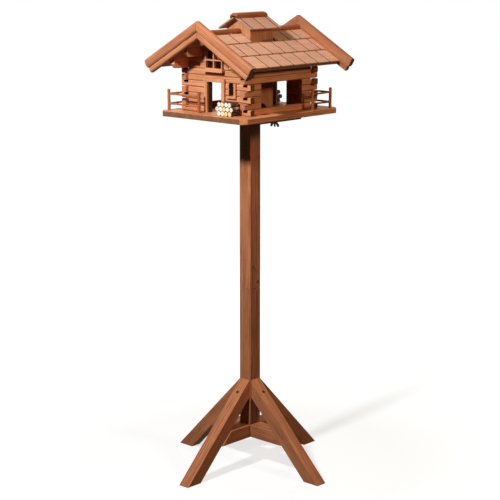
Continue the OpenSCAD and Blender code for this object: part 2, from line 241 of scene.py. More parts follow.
# %% [markdown]
# ## Stained softwood
# The whole feeder is softwood under a reddish brown stain. Sawn wood shows three things at
# once: thin fibres along the board, growth rings cut at a slant, and broad soft changes of
# tone. One group makes them from noises stretched along X. Each finish turns the piece's
# own coordinates so that X runs along its grain, and moves them so that no two pieces are
# cut from the same spot of the tree.

# %% The wood group
WARP, FIBRE, BANDS, CLOUD = (5, 30, 30), (22, 620, 620), (6, 95, 95), (14, 14, 14)
RING_SCALE, RING_SHARPNESS, HEART_PLACE = 62, 2.2, (0, 0.021, 0.034)
WARP_REACH, HALF_GREY = (0, 0.014, 0.014), (0.5, 0.5, 0.5)

wood, given, result = new_tree(
    "Stained softwood", "ShaderNodeTree",
    [("Along grain", VECTOR, None), ("Pale", COLOR, None), ("Dark", COLOR, None),
     ("Figure", FLOAT, 0.5), ("Tone", FLOAT, 1.0)],
    [("Color", COLOR), ("Roughness", FLOAT), ("Height", FLOAT)])


def grain_noise(where, waves, detail=2):
    """Noise with so many waves to the metre along the grain and across it."""
    return noise(wood, calc3(wood, "MULTIPLY", where, waves), detail=detail)


where = given["Along grain"]
warp = calc3(wood, "SUBTRACT", grain_noise(where, WARP)["Color"], HALF_GREY)
bent = calc3(wood, "ADD", where, calc3(wood, "MULTIPLY", warp, WARP_REACH))
rings = add(wood, "ShaderNodeTexWave",
            {"Vector": calc3(wood, "ADD", bent, HEART_PLACE), "Scale": RING_SCALE,
             "Distortion": 0.6, "Detail": 1},
            wave_type="RINGS", rings_direction="X", wave_profile="SIN").outputs["Fac"]
rings = calc(wood, "POWER", rings, RING_SHARPNESS)
fibre = grain_noise(bent, FIBRE, 3)["Fac"]
bands = grain_noise(bent, BANDS)["Fac"]
cloud = grain_noise(where, CLOUD)["Fac"]
darkness = times(wood, rings, times(wood, given["Figure"], 0.55))
darkness = times_plus(wood, minus(wood, fibre, 0.4), 1.1, darkness)
darkness = times_plus(wood, minus(wood, bands, 0.42), 1.3, darkness)
darkness = out(wood, "ShaderNodeClamp", {0: darkness})
light = times_plus(wood, minus(wood, cloud, 0.5), 0.35, given["Tone"])
stain = blend_colour(wood, darkness, given["Pale"], given["Dark"])
fill(wood, result, {"Color": scaled(wood, stain, light),
                    "Roughness": times_plus(wood, fibre, 0.22, 0.5),
                    "Height": times_plus(wood, rings, -0.4, fibre)})
print("wood group:", len(wood.nodes), "nodes")

# %% [markdown]
# ## Tones that follow the place
# End grain drinks more stain than the long faces, so a face that looks along the grain is
# darker. Undersides and the back of a piece can be darkened too, which paints shade on them.
# On a wall the courses of logs are counted from the floor up, and a painted shade darkens the
# grooves between them.

# %% Work out the tone
def tone_here(tree, place, grain, tone, ends, underside_shade, back):
    """A tone that changes on end grain, with painted shade on undersides and at the back."""
    normal = add(tree, "ShaderNodeNewGeometry").outputs["True Normal"]
    along_grain = add(tree, "ShaderNodeVectorMath", {0: normal, 1: Vector(grain).normalized()},
                      operation="DOT_PRODUCT").outputs["Value"]
    level = remap(tree, calc(tree, "ABSOLUTE", along_grain), 0.75, 0.95, tone, tone * ends)
    # Faces that look down get a painted shade.
    level = times(tree, level, remap(tree, split(tree, normal)[2], -0.1, 0.4, underside_shade, 1.0))
    # Faces in the back half of the piece get a painted shade.
    return times(tree, level, remap(tree, split(tree, place)[1], -0.05, 0.05, 1.0, back))


def log_here(tree, place, first):
    """The number of the log that a point is on, and the painted shade at the joint beside it."""
    count = calc(tree, "DIVIDE", minus(tree, split(tree, place)[2], floor_z), log_height)
    off_middle = calc(tree, "ABSOLUTE", minus(tree, calc(tree, "FRACT", count), 0.5))
    # The tone drops near the joints between logs: a painted shade in the grooves.
    return (plus(tree, calc(tree, "FLOOR", count), first),
            remap(tree, off_middle, 0.4, 0.5, 1.0, 0.7))


print("one log is", round(log_height / mm, 1), "mm high")

# %% [markdown]
# ## One finish for each kind of piece
# A finish is the wood group with two colours, the direction of the grain, and how much the
# tone changes. Each log of a wall gets its own tone and its own piece of the pattern. For
# pieces grown from a tree the finish reads the number that the tree stored on each of them.

# %% Make a finish
SHIFT_STEP, SHIFT_START, SHIFT_WAY, LOG_SHIFT = 0.37, 0.2, (1, 0.37, 0.61), 10
GRAIN_DEPTH, GRAIN_STRENGTH, WOOD_SHINE = 0.6 * mm, 0.25, 0.07
OTHER_SPOT = (3, 0.5, 0.5)
finishes = {}


def wood_finish(name, colours, grain=(1, 0, 0), figure=0.5, tone=1.0, ends=0.5, spread=0.12,
                courses=False, by_piece=False, underside_shade=1.0, back=1.0):
    """A procedural wood material."""
    material, tree, shader = new_material(name)
    place = add(tree, "ShaderNodeTexCoord").outputs["Object"]
    turn = Vector(grain).rotation_difference(Vector((1, 0, 0))).to_euler("XYZ")
    shift = SHIFT_STEP * len(finishes) + SHIFT_START
    spot = tuple(shift * way for way in SHIFT_WAY)
    along = out(tree, "ShaderNodeMapping", {"Vector": place, "Rotation": turn,
                                            "Location": spot})
    level = tone_here(tree, place, grain, tone, ends, underside_shade, back)
    if courses or by_piece:
        if courses:
            which, groove_shade = log_here(tree, place, shift * LOG_SHIFT)
            # Painted shade in the grooves between the logs.
            level = times(tree, level, groove_shade)
        else:
            which = add(tree, "ShaderNodeAttribute", attribute_name="which").outputs["Fac"]
        chance = add(tree, "ShaderNodeTexWhiteNoise", {"W": which},
                     noise_dimensions="1D").outputs
        level = times(tree, level, remap(tree, chance[0], 0, 1, 1 - spread, 1 + spread))
        along = calc3(tree, "ADD", along, calc3(tree, "MULTIPLY", chance[1], OTHER_SPOT))
    grainy = add(tree, "ShaderNodeGroup",
                 {"Along grain": along, "Tone": level, "Pale": colours[0],
                  "Dark": colours[1], "Figure": figure}, node_tree=wood).outputs
    bumps = out(tree, "ShaderNodeBump", {"Height": grainy["Height"], "Distance": GRAIN_DEPTH,
                                         "Strength": GRAIN_STRENGTH})
    fill(tree, shader, {"Base Color": grainy["Color"], "Roughness": grainy["Roughness"],
                        "Normal": bumps, "Specular IOR Level": WOOD_SHINE})
    finishes[name] = material
    return material


print("wood finishes start", SHIFT_STEP, "apart in the tree")

# %% [markdown]
# ## Stains
# Each kind of piece gets a pale and a dark tone, and its grain moves between the two. The
# shingles took less of the stain and the bars on the ridges more. The painted shade in the
# saw cuts is nearly black.

# %% Mix the stains
STAND = (shade(206, 134, 94), shade(138, 80, 48))
HOUSE = (shade(223, 155, 113), shade(164, 96, 58))
TRIM = (shade(222, 156, 116), shade(172, 104, 66))
SHINGLE = (shade(228, 178, 149), shade(198, 141, 112))
VERGE = (shade(214, 144, 104), shade(160, 92, 56))
CAPS = (shade(214, 132, 84), shade(150, 80, 40))
# Nearly black: a painted shade for the inside of the saw cuts.
CUT_SHADE = (shade(48, 28, 20), shade(28, 17, 13))
print("the stand's pale tone is", [round(part, 3) for part in STAND[0][:3]])

# %% [markdown]
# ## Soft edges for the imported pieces
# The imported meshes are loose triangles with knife-sharp edges. Real wood has small worn
# edges that catch the light. A stack of modifiers does that without changing the mesh: the
# corners are welded, flat faces are joined up, and the edges are bevelled.

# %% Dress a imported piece
SEAM, FLAT_ANGLE, EDGE_ANGLE = 0.02 * mm, math.radians(1), math.radians(40)
SMALL_EDGE, LOG_EDGE, BAR_EDGE, STAND_EDGE = 0.5 * mm, 0.8 * mm, 1.4 * mm, 1.5 * mm


def wear_edges(piece, width):
    """Joins up loose triangles and rounds the edges between flat faces."""
    piece.modifiers.new("Weld corners", "WELD").merge_threshold = SEAM
    flat = piece.modifiers.new("Join flat faces", "DECIMATE")
    flat.decimate_type = "DISSOLVE"
    flat.angle_limit = FLAT_ANGLE
    bevel = piece.modifiers.new("Worn edges", "BEVEL")
    bevel.width = width
    bevel.segments = 2
    bevel.limit_method = "ANGLE"
    bevel.angle_limit = EDGE_ANGLE


def dress(names, material, width):
    """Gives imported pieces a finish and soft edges."""
    for name in names:
        nodes[name].data.materials.clear()
        nodes[name].data.materials.append(material)
        wear_edges(nodes[name], width)


print("worn edges are", SMALL_EDGE / mm, "to", STAND_EDGE / mm, "mm wide")

# %% [markdown]
# ## The stand
# Each leg is a sloping board, so its grain runs down the slope. The posts' grain runs
# upwards and the cross beams' along their length. The base board of the house follows,
# with its end grain darker.

# %% Dress the stand
X, Y, Z = (1, 0, 0), (0, 1, 0), (0, 0, 1)
down, outward = math.sin(leg_slope), math.cos(leg_slope)
legs = {"leg_front": (0, -1), "leg_right": (1, 0), "leg_back": (0, 1), "leg_left": (-1, 0)}
for name, (x, y) in legs.items():
    finish = wood_finish(name, STAND, (x * outward, y * outward, -down), figure=0.65)
    dress([name], finish, STAND_EDGE)
for name, grain, figure, tone in (
        ("cross_beam_upper", X, 0.8, 0.95), ("cross_beam_lower", Y, 1.0, 1.0),
        ("lower_post", Z, 0.7, 0.9), ("upper_post", Z, 0.7, 1.0)):
    dress([name], wood_finish(name, STAND, grain, figure, tone), STAND_EDGE)
dress(["base_board"], wood_finish("base_board", HOUSE, Y, 0.8, 1.02, 0.42),
      STAND_EDGE)
print("stand dressed:", len(finishes), "finishes")

# %% [markdown]
# ## The mounting board
# The board under the base sits across the top of the post. It is drawn here, wider and
# thinner than the imported one, with the last bit of the post below it: two boxes in one
# mesh, all their edges bevelled. Every new piece is handed over to the frame in the same
# way: it rides on the root body, and the imported nodes that it stands for are hidden.

# %% Make the mounting board
MOUNT_HALF_X, MOUNT_HALF_Y, MOUNT_EDGE = 108 * mm, 112 * mm, 1.2 * mm


def put_in_scene(name, data):
    """An object that shows some data."""
    made = bpy.data.objects.new(name, data)
    bpy.context.scene.collection.objects.link(made)
    return made


def hand_over(piece, replaced):
    """Tells the frame about a new piece."""
    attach(piece, "root")
    for node in replaced:
        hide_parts(node)


shape = bmesh.new()
for half_x, half_y, low, high in (
        (MOUNT_HALF_X, MOUNT_HALF_Y, board_z, base_low.z),
        (post_half, post_half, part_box("upper_post")[1].z, board_z)):
    bmesh.ops.create_cube(shape, size=1, matrix=Matrix.LocRotScale(
        Vector((0, 0, (low + high) / 2)), None, Vector((2 * half_x, 2 * half_y, high - low))))
bmesh.ops.bevel(shape, geom=shape.edges[:], offset=MOUNT_EDGE, segments=2, affect="EDGES")
mesh = bpy.data.meshes.new("mounting_board_on_post")
shape.to_mesh(mesh)
shape.free()
mesh.materials.append(wood_finish("mounting_board", STAND, Y, 0.5, 0.8))
hand_over(put_in_scene("mounting_board_on_post", mesh), ["mounting_board"])
print("mounting board", len(mesh.polygons), "faces")

# %% [markdown]
# ## The log house
# The logs of the front and back walls run along X, those of the side walls along Y. The
# silo's panels stand upright, and so do the boards round the doors and windows. The order
# of these lines matters: each new finish is cut from the next spot of the tree.

# %% Dress the house
# The front and back walls' logs end in faces that look sideways; their 0.22, against the side
# walls' 0.8, is partly the end grain's own darkness and partly painted shade.
for side, grain, ends in (("front", X, 0.22), ("back", X, 0.22), ("right", Y, 0.8),
                          ("left", Y, 0.8)):
    dress([side + "_wall_through_logs", side + "_wall_fitted_logs"],
          wood_finish(side + "_wall", HOUSE, grain, ends=ends, courses=True),
          LOG_EDGE)
for part, grain, figure in (("door_frame", Z, 0.3), ("small_window", Z, 0.2),
                            ("gable_window", X, 0.2)):
    for side in ("front_", "back_"):
        finish = wood_finish(side + part, TRIM, grain, figure, ends=0.75)
        dress([side + part], finish, SMALL_EDGE)
# The purlins are made much lighter than the walls (1.45): painted light on their heads under the
# roof.
for name, grain, tone in (("silo_end_panels", Z, 0.72), ("silo_side_panels", Z, 0.72),
                          ("purlins", Y, 1.45)):
    dress([name], wood_finish(name, HOUSE, grain, 0.3, tone, 0.9), SMALL_EDGE)
# The roof boards show only from below; their tone of 0.5 paints the shade under the roof.
dress(["roof_board_right", "roof_board_left"],
      wood_finish("roof_boards_painted_shade", HOUSE, Y, 0.5, 0.5), SMALL_EDGE)
print("house dressed:", len(finishes), "finishes so far")

# %% [markdown]
# ## Growing pieces from node trees
# What repeats is made by Geometry Nodes: the tree has named inputs for its sizes, and a
# fixed seed for what is random. A modifier runs the tree on a new object, the result is
# kept as a plain mesh, and the modifier is taken off again. A mesh can be handed in as
# well, for trees that change it or that put something on each of its points. Most trees end
# in the same way, so that is a helper too.

# %% Run a tree
def grow(name, tree, sizes, replaced=(), start_mesh=None):
    """Runs a node tree and keeps the result as a plain mesh that rides on the feeder."""
    piece = put_in_scene(name, start_mesh or bpy.data.meshes.new(name))
    maker = piece.modifiers.new("Grow", "NODES")
    maker.node_group = tree
    for item in tree.interface.items_tree:
        if item.name in sizes:
            maker[item.identifier] = sizes[item.name]
    finished = piece.evaluated_get(bpy.context.evaluated_depsgraph_get())
    grown = bpy.data.meshes.new_from_object(finished)
    piece.modifiers.remove(maker)
    piece.data = grown
    hand_over(piece, replaced)
    print(name, "has", len(grown.polygons), "faces")
    return piece


def close_tree(tree, geometry, material, end):
    """Ends a tree: copies are made real, and everything gets one material."""
    geometry = out(tree, "GeometryNodeRealizeInstances", {0: geometry})
    geometry = out(tree, "GeometryNodeSetMaterial", {"Geometry": geometry,
                                                     "Material": material})
    fill(tree, end, {"Geometry": geometry})
    print(tree.name, "has", len(tree.nodes), "nodes")


print("a tree is ended with close_tree and run with grow")

# %% [markdown]
# ## Verge bars and ridge bars
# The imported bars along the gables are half-round. The real ones are planed nearly flat in
# front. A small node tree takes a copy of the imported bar, asks how far each point lies from
# the middle of the face, and pushes it out accordingly: a high power of that distance
# leaves the middle flat and rounds the two edges.

# %% The tree that planes a bar
FLATNESS = 4


def position(tree):
    """Where a point is."""
    return out(tree, "GeometryNodeInputPosition")


plane, given, result = new_tree(
    "Plane the face", "GeometryNodeTree",
    [("Geometry", GEOMETRY, None), ("Pitch", FLOAT, 0.5), ("Back", FLOAT, 0.2),
     ("Depth", FLOAT, 0.017), ("Middle", FLOAT, 1.0), ("Half thickness", FLOAT, 0.01),
     ("Roundness", FLOAT, 0.2), ("Wood", MATERIAL, None)],
    [("Geometry", GEOMETRY)])
x, y, z = split(plane, position(plane))
depth_here = calc(plane, "ABSOLUTE", y)
across = plus(plane,
              times(plane, calc(plane, "ABSOLUTE", x), calc(plane, "SINE", given["Pitch"])),
              times(plane, z, calc(plane, "COSINE", given["Pitch"])))
across = minus(plane, across, given["Middle"])
across = calc(plane, "ABSOLUTE", calc(plane, "DIVIDE", across, given["Half thickness"]))
lost = times(plane, calc(plane, "POWER", across, FLATNESS), given["Roundness"])
face = times_plus(plane, given["Depth"], minus(plane, 1, lost), given["Back"])
face = times(plane, face, calc(plane, "SIGN", y))
on_face = calc(plane, "GREATER_THAN", minus(plane, depth_here, given["Back"]), 1 * mm)
planed = out(plane, "GeometryNodeSetPosition",
             {"Geometry": given["Geometry"], "Selection": on_face,
              "Position": xyz(plane, x, face, z)})
close_tree(plane, planed, given["Wood"], result)

# %% [markdown]
# ## Plane and dress the bars
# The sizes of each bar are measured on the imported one. The grain follows the slope. The
# bars on the ridges run from front to back and stay as they are.

# %% Dress the bars
ROUNDNESS = 0.34
for side, x in (("right", 1), ("left", -1)):
    for level in ("upper", "lower"):
        name = "verge_" + level + "_" + side
        points = [v.co for v in nodes[name].data.vertices]
        heights = [abs(p.x) * math.sin(pitch) + p.z * math.cos(pitch) for p in points]
        faces = [abs(p.y) for p in points]
        grain = (x * math.cos(pitch), 0, -math.sin(pitch))
        # back=0.8 paints shade on the bars at the back of the roof.
        sizes = {"Pitch": pitch, "Back": min(faces), "Depth": max(faces) - min(faces),
                 "Middle": (max(heights) + min(heights)) / 2,
                 "Half thickness": (max(heights) - min(heights)) / 2, "Roundness": ROUNDNESS,
                 "Wood": wood_finish(name, VERGE, grain, 0.7, 0.88, 0.2, back=0.8)}
        bar = grow(name + "_planed", plane, sizes, [name],
                   nodes[name].data.copy())
        wear_edges(bar, BAR_EDGE)
for name in ("ridge_caps", "silo_ridge_bar"):
    dress([name], wood_finish(name, CAPS, Y, 0.6, 0.66), LOG_EDGE)
print("bars dressed:", len(finishes), "finishes so far")

# %% [markdown]
# ## A course of shingles
# On the real roof each course is one tapered board with saw cuts across it, and the cuts lie
# in shade, which is painted into them. The tree lays a thin floor, puts one tapered block on
# each stretch between two cuts, leaves out the silo, and copies the slope to the other side.
# A block is a four-sided outline with a rounded butt, swept along a line of length one, then
# stretched to its place.

# %% The inputs of a course
shingles, given, result = new_tree(
    "Shingle course", "GeometryNodeTree",
    [("Geometry", GEOMETRY, None), ("Upper end", FLOAT, 0.0), ("Butt end", FLOAT, 0.06),
     ("Mitre", FLOAT, 0.0), ("Board", FLOAT, 0.012), ("Floor", FLOAT, 0.0006),
     ("Thin end", FLOAT, 0.001), ("Thick end", FLOAT, 0.0045), ("Half length", FLOAT, 0.2),
     ("Gap", FLOAT, 0.0), ("Cut pitch", FLOAT, 0.05), ("Cut width", FLOAT, 0.002),
     ("First cut", FLOAT, 0.0), ("Slope angle", FLOAT, 0.5), ("Ridge height", FLOAT, 1.0),
     ("Seed", FLOAT, 1.0), ("Wood", MATERIAL, None), ("Cut shade", MATERIAL, None)],
    [("Geometry", GEOMETRY)])


def index(tree):
    """The number of a point."""
    return out(tree, "GeometryNodeInputIndex")


def store(tree, geometry, name, value, domain):
    """Stores a number under a name."""
    return out(tree, "GeometryNodeStoreNamedAttribute",
               {"Geometry": geometry, "Name": name, "Value": value},
               data_type="FLOAT", domain=domain)


def line(tree, start, end):
    """A straight line between two places."""
    return out(tree, "GeometryNodeCurvePrimitiveLine", {"Start": start, "End": end})


def sweep(tree, curve, profile, thickness=1):
    """A profile swept along a curve, with its ends closed."""
    return out(tree, "GeometryNodeCurveToMesh", {"Curve": curve, "Profile Curve": profile,
                                                 "Fill Caps": True, "Scale": thickness})


print("inputs of a course:", ", ".join(socket.name for socket in given if socket.name))

# %% [markdown]
# ## The block and the floor
# Both have the same kind of outline. The block's is rounded at the upper corner of its butt,
# where the weather wears it, and the floor's is thin and sharp. The floor's upper faces
# are marked with a number, since they show at the bottom of the cuts and get the painted
# shade there.

# %% Draw the block and the floor
BUTT_ROUNDING, SHARP_ROUNDING = 0.8 * mm, 0.05 * mm


def outline(low, upper_high, butt_high, round_butt):
    """The cross section of a block, from the ridge end to the butt."""
    def upper(height):
        lean = times(shingles, times(shingles, height, given["Mitre"]),
                     calc(shingles, "TANGENT", given["Slope angle"]))
        return minus(shingles, given["Upper end"], lean)
    four = out(shingles, "GeometryNodeCurvePrimitiveQuadrilateral",
               {"Point 1": xyz(shingles, upper(low), low, 0),
                "Point 2": xyz(shingles, given["Butt end"], low, 0),
                "Point 3": xyz(shingles, given["Butt end"], butt_high, 0),
                "Point 4": xyz(shingles, upper(upper_high), upper_high, 0)}, mode="POINTS")
    third = calc(shingles, "COMPARE", index(shingles), 2, 0.5)
    radius = times_plus(shingles, third, round_butt, SHARP_ROUNDING)
    return out(shingles, "GeometryNodeFilletCurve",
               {"Curve": four, "Radius": radius, "Count": 3}, mode="POLY")


rod = line(shingles, (0, 0, 0), (0, 0, 1))
floor_top, thin_top, thick_top = (plus(shingles, given["Board"], given[name])
                                  for name in ("Floor", "Thin end", "Thick end"))
block = sweep(shingles, rod, outline(floor_top, thin_top, thick_top, BUTT_ROUNDING))
plank = sweep(shingles, rod, outline(given["Board"], floor_top, floor_top, 0.0))
upward = split(shingles, out(shingles, "GeometryNodeInputNormal"))[1]
plank = store(shingles, plank, "cut_floor", calc(shingles, "GREATER_THAN", upward, 0.9), "FACE")
print("block and floor drawn:", len(shingles.nodes), "nodes")

# %% [markdown]
# ## Where the saw cuts fall
# The cuts have an even pitch, and each course starts them at another place, so that they
# don't line up. Each point stores where its block begins and how long it is. Blocks that
# would reach past the gable are cut short there, and those at the silo stop beside it.

# %% Find the stretches between the cuts
SHORTEST = 3 * mm


def read(tree, name):
    """Reads a number stored under a name."""
    return add(tree, "GeometryNodeInputNamedAttribute", {"Name": name},
               data_type="FLOAT").outputs["Attribute"]


half, gap, cut = given["Half length"], given["Gap"], times(shingles, given["Cut width"], 0.5)
least = times(shingles, half, -1)
reach = calc(shingles, "CEIL", calc(shingles, "DIVIDE", half, given["Cut pitch"]))
number = index(shingles)
cut_y = times_plus(shingles, minus(shingles, minus(shingles, number, reach), 1),
                   given["Cut pitch"], given["First cut"])
low_y = calc(shingles, "MAXIMUM", plus(shingles, cut_y, cut), least)
next_cut = plus(shingles, cut_y, minus(shingles, given["Cut pitch"], cut))
high_y = calc(shingles, "MINIMUM", next_cut, half)
behind = calc(shingles, "GREATER_THAN", plus(shingles, low_y, high_y), 0)


def outside_gap(is_low, value):
    """Moves the end that looks at the silo out of the silo's gap."""
    pushed = (calc(shingles, "MAXIMUM", value, gap) if is_low
              else calc(shingles, "MINIMUM", value, times(shingles, gap, -1)))
    away = behind if is_low else minus(shingles, 1, behind)
    wanted = times(shingles, away, calc(shingles, "GREATER_THAN", gap, 0))
    return out(shingles, "ShaderNodeMix", {0: wanted, 2: value, 3: pushed})


low_y, high_y = outside_gap(True, low_y), outside_gap(False, high_y)
spots = out(shingles, "GeometryNodePoints", {"Count": times_plus(shingles, reach, 2, 2)})
for name, value in (("low", low_y), ("long", minus(shingles, high_y, low_y)),
                    ("which", plus(shingles, number, given["Seed"]))):
    spots = store(shingles, spots, name, value, "POINT")
too_short = calc(shingles, "LESS_THAN", read(shingles, "long"), SHORTEST)
spots = out(shingles, "GeometryNodeDeleteGeometry",
            {"Geometry": spots, "Selection": too_short}, domain="POINT")
print("cuts placed:", len(shingles.nodes), "nodes")

# %% [markdown]
# ## Both slopes of a course
# The second slope is the first one turned half round, so its blocks are laid in the other
# direction: then the cuts of both slopes meet at the ridge. The floor is laid in two
# halves, one in front of the silo and one behind it.

# %% Lay both slopes
def copies(tree, points, instance, **more):
    """A copy of something on each point."""
    return out(tree, "GeometryNodeInstanceOnPoints", {"Points": points, "Instance": instance,
                                                      **more})


def join(tree, parts):
    """Several geometries as one."""
    return out(tree, "GeometryNodeJoinGeometry", {0: parts})


slopes = []
for turn in (0, math.pi):
    start = read(shingles, "low")
    if turn == 0:
        start = times(shingles, plus(shingles, start, read(shingles, "long")), -1)
    placed = out(shingles, "GeometryNodeSetPosition",
                 {"Geometry": spots, "Position": xyz(shingles, 0, 0, start)})
    parts = [copies(shingles, placed, block, Scale=xyz(shingles, 1, 1, read(shingles, "long")))]
    for start in (least, gap):
        spot = out(shingles, "GeometryNodePoints",
                   {"Count": 1, "Position": xyz(shingles, 0, 0, start)})
        parts.append(copies(shingles, spot, plank,
                            Scale=xyz(shingles, 1, 1, minus(shingles, half, gap))))
    slopes.append(out(shingles, "GeometryNodeTransform",
                      {"Geometry": join(shingles, parts),
                       "Rotation": xyz(shingles, math.pi / 2, given["Slope angle"], turn),
                       "Translation": xyz(shingles, 0, 0, given["Ridge height"])}))
print("slopes laid:", len(shingles.nodes), "nodes")

# %% [markdown]
# ## Painted shade in the saw cuts
# The faces of a cut are found by asking each face where it looks and where it is: it looks
# along the ridge but isn't at a gable. They and the floor get a near-black material that
# paints the shade in the cuts.

# %% Paint the shade into the saw cuts
whole = out(shingles, "GeometryNodeRealizeInstances", {0: join(shingles, slopes)})
whole = out(shingles, "GeometryNodeSetShadeSmooth", {0: whole, "Shade Smooth": False})
whole = out(shingles, "GeometryNodeSetMaterial", {"Geometry": whole, "Material": given["Wood"]})
along = split(shingles, out(shingles, "GeometryNodeInputNormal"))[1]
at = calc(shingles, "ABSOLUTE", split(shingles, position(shingles))[1])
inside = calc(shingles, "LESS_THAN", at, minus(shingles, half, 1 * mm))
sawn = times(shingles, inside,
             calc(shingles, "GREATER_THAN", calc(shingles, "ABSOLUTE", along), 0.9))
# The cut faces and the floor between the blocks get the painted shade.
shaded_cut = calc(shingles, "MAXIMUM", sawn, read(shingles, "cut_floor"))
whole = out(shingles, "GeometryNodeSetMaterial",
            {"Geometry": whole, "Selection": shaded_cut, "Material": given["Cut shade"]})
fill(shingles, result, {"Geometry": whole})
print("shingle tree:", len(shingles.nodes), "nodes")

# %% [markdown]
# ## Lay the courses
# The imported courses say where each butt ends. All three courses are cut from the same
# board, so the two lower ones begin one course further up, and the upper one begins under
# the bar on the ridge, where its board is already a little thick. The silo's small roof
# comes from the same tree, with both slopes meeting in a mitre and no taper.

# %% Lay the shingles
# This material paints the shade inside the saw cuts.
cut_shade = wood_finish("painted_shade_in_saw_cuts", CUT_SHADE, Y, tone=0.6)
# The butts and undersides of the shingles get a painted shade of 0.7.
shingle_wood, silo_wood = (
    wood_finish(name, SHINGLE, Y, 0.25, tone, 0.9, 0.05, by_piece=True, underside_shade=0.7)
    for name, tone in (("shingle_wood", 1.0), ("silo_shingle_wood", 0.8)))
butt, thin, slack = 4.5 * mm, 1 * mm, 0.2 * mm
first_cuts = (1 * mm, 28 * mm, 4 * mm)
ends = {name: (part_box(name)[1].x - (board + butt) * math.sin(pitch)) / math.cos(pitch)
        for name in ("shingles_top", "shingles_middle", "shingles_eave")}
course = ends["shingles_eave"] - ends["shingles_middle"]
cap_end = (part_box("ridge_caps")[1].x + slack - board * math.sin(pitch)) / math.cos(pitch)
common = {"Cut pitch": 54.5 * mm, "Cut width": 2.9 * mm, "Wood": shingle_wood, "Cut shade": cut_shade,
          "Gap": 0.0}
main_roof = {**common, "Board": board, "Floor": 0.6 * mm, "Thick end": butt,
             "Half length": half_roof, "Slope angle": pitch, "Ridge height": roof_z}
for number, (name, end) in enumerate(ends.items()):
    start = max(end - course, cap_end)
    sizes = {**main_roof, "Upper end": start, "Butt end": end, "Seed": 50.0 * number,
             "First cut": first_cuts[number],
             "Thin end": thin + (butt - thin) * (start - end + course) / course}
    if number == 0:
        sizes["Gap"] = silo_y + slack
    grow(name.replace("shingles", "shingle_course"), shingles, sizes, [name])
grow("silo_shingles", shingles,
     {**common, "Upper end": 0.0, "Butt end": lid_slope, "Mitre": 1.0, "Board": 0.0,
      "Floor": lid_board / 2, "Thin end": lid_board, "Thick end": lid_board,
      "Half length": half_lid, "First cut": -2 * mm, "Slope angle": lid_pitch,
      "Ridge height": lid_z, "Seed": 200.0, "Wood": silo_wood},
     ["silo_roof_right", "silo_roof_left"])

# %% [markdown]
# ## Railing sticks
# The railing is made of thin peeled sticks, none of them quite straight. The tree starts
# from straight lines, cuts them into short steps, moves each step a little by a smooth
# noise, and sweeps a small circle along them. The back is the front turned half round.

# %% The tree of the sticks
STEPS, WAVES = 14, (22, 22, 22)

sticks, given, result = new_tree(
    "Bent sticks", "GeometryNodeTree",
    [("Geometry", GEOMETRY, None), ("Corner", VECTOR, (0.1, 0.1, 0)),
     ("Door post", FLOAT, 0.04), ("Side post", FLOAT, 0.1), ("Floor height", FLOAT, 1.0),
     ("Post height", FLOAT, 0.06), ("Post radius", FLOAT, 0.0045),
     ("Rail radius", FLOAT, 0.002), ("Lower rail", FLOAT, 0.02), ("Upper rail", FLOAT, 0.05),
     ("Bend", FLOAT, 0.001), ("Wood", MATERIAL, None)],
    [("Geometry", GEOMETRY)])
corner = split(sticks, given["Corner"])
far_x, far_y, door_x, side_y = (times(sticks, value, -1) for value in (
    corner[0], corner[1], given["Door post"], given["Side post"]))
low = given["Floor height"]
top = plus(sticks, low, given["Post height"])
lines = [(xyz(sticks, x, y, low), xyz(sticks, x, y, top), given["Post radius"])
         for x, y in ((far_x, far_y), (door_x, far_y), (far_x, side_y))]
for rail in ("Lower rail", "Upper rail"):
    level = plus(sticks, low, given[rail])
    for x, y in ((door_x, far_y), (far_x, side_y)):
        lines.append((xyz(sticks, far_x, far_y, level), xyz(sticks, x, y, level),
                      given["Rail radius"]))
drawn = []
for number, (start, end, radius) in enumerate(lines):
    stick = out(sticks, "GeometryNodeResampleCurve",
                {"Curve": line(sticks, start, end), "Count": STEPS})
    stick = store(sticks, stick, "thick", radius, "POINT")
    drawn.append(store(sticks, stick, "which", number, "POINT"))
print("straight sticks:", len(lines))

# %% [markdown]
# ## Bend the sticks
# The push of the noise dies away at both ends of a stick, where it is held by the posts or
# the floor. A second noise makes the sticks a little thinner here and there.

# %% Bend and thicken
def moved(tree, geometry, way):
    """Geometry with each point moved its own way."""
    return out(tree, "GeometryNodeSetPosition", {"Geometry": geometry, "Offset": way})


def half_turn(tree, geometry):
    """Adds a copy turned half round, since the front and the back are alike."""
    turned = out(tree, "GeometryNodeTransform", {"Geometry": geometry,
                                                 "Rotation": (0, 0, math.pi)})
    return join(tree, [geometry, turned])


place = calc3(sticks, "MULTIPLY", position(sticks), WAVES)
push = calc3(sticks, "SUBTRACT", noise(sticks, place, detail=1)["Color"], HALF_GREY)
sideways, upwards = (times(sticks, given["Bend"], much) for much in (4, 3))
push = calc3(sticks, "MULTIPLY", push, xyz(sticks, sideways, sideways, upwards))
held = out(sticks, "GeometryNodeSplineParameter")
held = calc(sticks, "SINE", times(sticks, held, math.pi))
drawn = moved(sticks, join(sticks, drawn), scaled(sticks, push, held))
knots = remap(sticks, noise(sticks, place, 2)["Fac"], 0.3, 0.7, 0.9, 1.0)
circle = out(sticks, "GeometryNodeCurvePrimitiveCircle", {"Resolution": 10, "Radius": 1})
drawn = sweep(sticks, drawn, circle, times(sticks, read(sticks, "thick"), knots))
close_tree(sticks, half_turn(sticks, drawn), given["Wood"], result)

# %% [markdown]
# ## Set up the railing
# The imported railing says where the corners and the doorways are. The sticks stand a few
# millimetres further in than its straight bars, so that those at a doorway stand close to
# the door frame.

# %% Set up the sticks
POST_RADIUS, RAIL_RADIUS, CORNER_INSET, DOOR_INSET = 4.8 * mm, 3 * mm, 3 * mm, 4 * mm


def side_reach(node, axis, other):
    """How near the middle the part of a node with a negative place on the other axis comes."""
    return -max(v.co[axis] for v in nodes[node].data.vertices if v.co[other] < 0)


